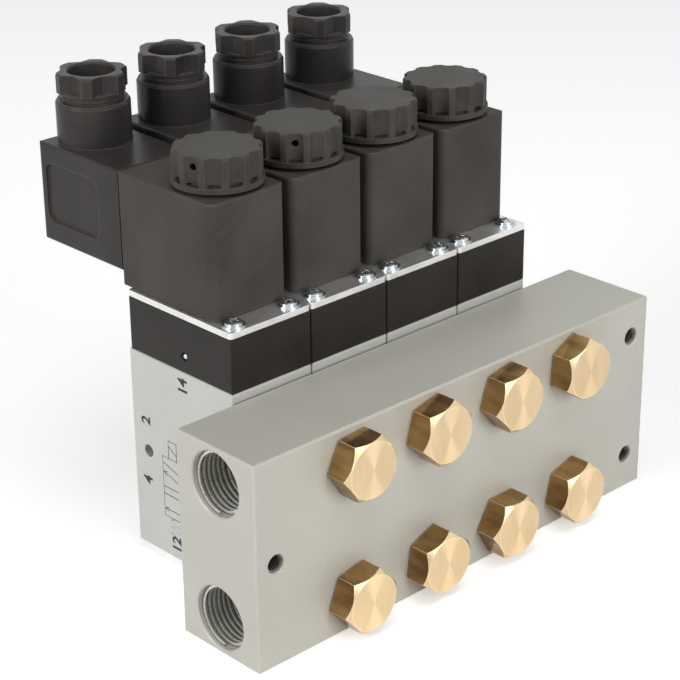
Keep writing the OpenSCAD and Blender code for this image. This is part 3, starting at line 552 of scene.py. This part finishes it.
leftHole = barLow[0] + ports["fixingInset"]
rightHole = barHigh[0] - ports["fixingInset"]
holes = [(leftHole, ports["leftFixing"])] + [(rightHole, z) for z in ports["rightFixings"]]
fixingPlaces = {
    f"fixingThread_{number}": (x, barLow[1], z) for number, (x, z) in enumerate(holes, 1)
}
placeThreads("fixing", fixingPlaces, back, "smallThread")

middleStation = sum(stations) / len(stations)
outletPlaces = {
    f"outletThread_{port}_{station}": ((station - middleStation) * valvePitch, bodyHigh[1], z)
    for station in stations for port, z in ports["outlets"].items()
}
placeThreads("outlet", outletPlaces, front, "thread")
print("stage 4: threads")


# Print on the left face of the first valve body: port numbers and a valve symbol in thin lines
printing = {
    "height": 4.4 * mm,
    "sizeByHeight": 1.38,
    "narrow": 0.95,
    "thick": 0.03 * mm,
    "bold": 0.17 * mm,
    "curveSteps": 4,
    "numbers": {                 # millimetres back from the bar's front, and up
        "14": (59.5, 67.6), "2": (79.1, 49.2), "4": (79.4, 27.6), "12": (66.0, 8.6),
    },
    "symbolAt": (61.2, 10.6),
    "line": 0.15 * mm,
    "lineFlatness": 0.15,
}


def readUpwards(piece, y, z):
    # The print's own x runs up the face and its top points to the back
    piece.rotation_euler = (0, -quarterTurn, 0)
    piece.location = (bodyLow[0], barLow[1] + y * mm, z * mm)


def joinPieces(pieces):
    selectOnly(*pieces)
    bpy.ops.object.join()
    return bpy.context.object


numerals = []
for label, (y, z) in printing["numbers"].items():
    selectOnly()
    bpy.ops.object.text_add()
    numeral = bpy.context.object
    numeral.data.body = label
    numeral.data.align_x = "CENTER"
    numeral.data.align_y = "CENTER"
    numeral.data.size = printing["height"] * printing["sizeByHeight"]
    numeral.data.offset = printing["bold"]
    numeral.data.extrude = printing["thick"] / 2
    numeral.data.resolution_u = printing["curveSteps"]
    bpy.ops.object.convert(target="MESH")
    numeral.scale = (printing["narrow"], 1, 1)
    readUpwards(numeral, y, z)
    applyPlace()
    numerals.append(numeral)
dress(joinPieces(numerals), "portNumbers", "ink")

# The symbol's strokes, in millimetres up the face and to the back
symbolLines = [
    [(7, 0), (28.6, 0), (28.6, 10.4), (7, 10.4), (7, 0)],
    [(17.8, 0), (17.8, 10.4)],
    [(9.7, 0.2), (9.7, 10.2)], [(8.9, 8.4), (9.7, 10.2), (10.5, 8.4)],
    [(15.1, 10.2), (15.1, 0.2)], [(14.3, 2), (15.1, 0.2), (15.9, 2)],
    [(12.4, 0), (12.4, 1.8)], [(11.5, 1.8), (13.3, 1.8)],
    [(20.2, 0.2), (23.2, 10.2)], [(21.9, 8.7), (23.2, 10.2), (23.5, 8.2)],
    [(26.4, 10.2), (23.4, 0.2)], [(23.1, 2.2), (23.4, 0.2), (24.7, 1.7)],
    [(26.9, 0), (26.9, 1.8)], [(26, 1.8), (27.8, 1.8)],
    [(28.6, 7.2), (35, 7.2), (35, 3.2), (28.6, 3.2)], [(30.6, 3.2), (33, 7.2)],
    [(7, 5.2), (5.9, 8), (4.8, 2.4), (3.7, 8), (2.6, 2.4), (1.5, 8), (0.4, 5.2)],
]
curve = bpy.data.curves.new("valveSymbol", "CURVE")
curve.dimensions = "3D"
curve.bevel_depth = printing["line"]
curve.bevel_resolution = 0
curve.use_fill_caps = True
for points in symbolLines:
    spline = curve.splines.new("POLY")
    spline.points.add(len(points) - 1)
    for point, (rise, depth) in zip(spline.points, points):
        point.co = (rise * mm, depth * mm, 0, 1)
symbol = bpy.data.objects.new("valveSymbol", curve)
bpy.context.scene.collection.objects.link(symbol)
selectOnly(symbol)
bpy.ops.object.convert(target="MESH")
symbol = bpy.context.object
symbol.scale = (1, 1, printing["lineFlatness"])
readUpwards(symbol, *printing["symbolAt"])
applyPlace()
dress(symbol, "valveSymbol", "ink")
print("stage 5: print on the first body")
